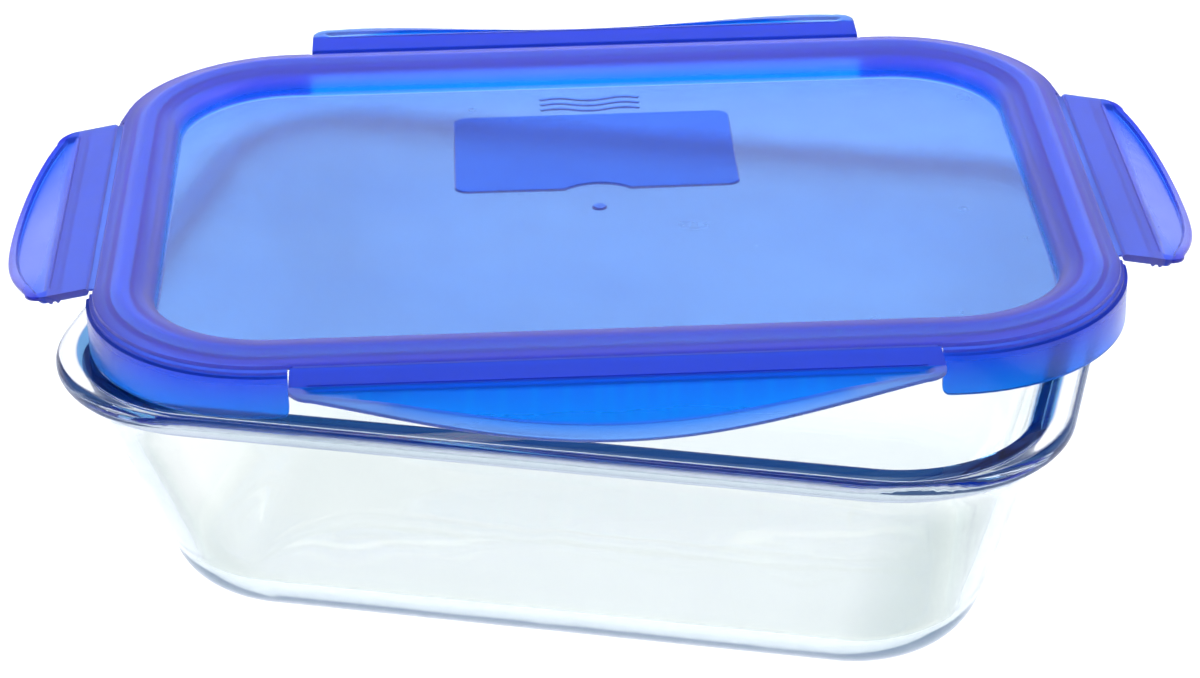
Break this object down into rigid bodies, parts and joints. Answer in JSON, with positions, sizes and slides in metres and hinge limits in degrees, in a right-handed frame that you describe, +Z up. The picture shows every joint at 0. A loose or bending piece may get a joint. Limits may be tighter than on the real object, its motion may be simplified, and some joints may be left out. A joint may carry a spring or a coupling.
{
  "type": "food storage container",
  "caption": "Rectangular glass food dish with rounded corners and an outward rim, and a translucent blue clip-on lid lying loose on it with its hinged side flaps open.",
  "frame": {"origin": "centre of the dish's flat base, on the surface that the dish stands on", "axes": "+X along the dish's long side, +Y towards its back long side, +Z up out of the mouth. The lid lies turned 15.1 degrees about +Z from +X."},
  "size_m": [0.2894, 0.2442, 0.0811],
  "materials": {
    "glass": "clear polished pressed glass, faint grey-green in its thick parts",
    "lid_plastic": "translucent blue polypropylene, satin to glossy",
    "seal": "soft pale silicone, matt"
  },
  "bodies": {
    "dish": {"glass_dish": "glass"},
    "lid": {"lid": "lid_plastic", "seal": "seal", "hinge_web_front": "lid_plastic", "hinge_web_back": "lid_plastic", "hinge_web_left": "lid_plastic", "hinge_web_right": "lid_plastic"},
    "flap_front": {"latch_front": "lid_plastic"},
    "flap_back": {"latch_back": "lid_plastic"},
    "flap_left": {"latch_left": "lid_plastic"},
    "flap_right": {"latch_right": "lid_plastic"}
  },
  "joints": [
    {"name": "lid_lift", "type": "slide", "parent": "dish", "child": "lid", "axis": [0, 0, 1], "range_m": [0, 0.12]},
    {"name": "hinge_front", "type": "hinge", "parent": "lid", "child": "flap_front", "pos_m": [0.01757, -0.0634, 0.0787], "axis": [-0.9655, -0.2605, 0], "range_deg": [-8, 90]},
    {"name": "hinge_back", "type": "hinge", "parent": "lid", "child": "flap_back", "pos_m": [-0.02997, 0.1128, 0.0787], "axis": [0.9655, 0.2605, 0], "range_deg": [-90, 90]},
    {"name": "hinge_left", "type": "hinge", "parent": "lid", "child": "flap_left", "pos_m": [-0.12326, -0.00689, 0.0787], "axis": [-0.2605, 0.9655, 0], "range_deg": [-42, 100]},
    {"name": "hinge_right", "type": "hinge", "parent": "lid", "child": "flap_right", "pos_m": [0.11086, 0.05629, 0.0787], "axis": [0.2605, -0.9655, 0], "range_deg": [-36, 100]}
  ]
}
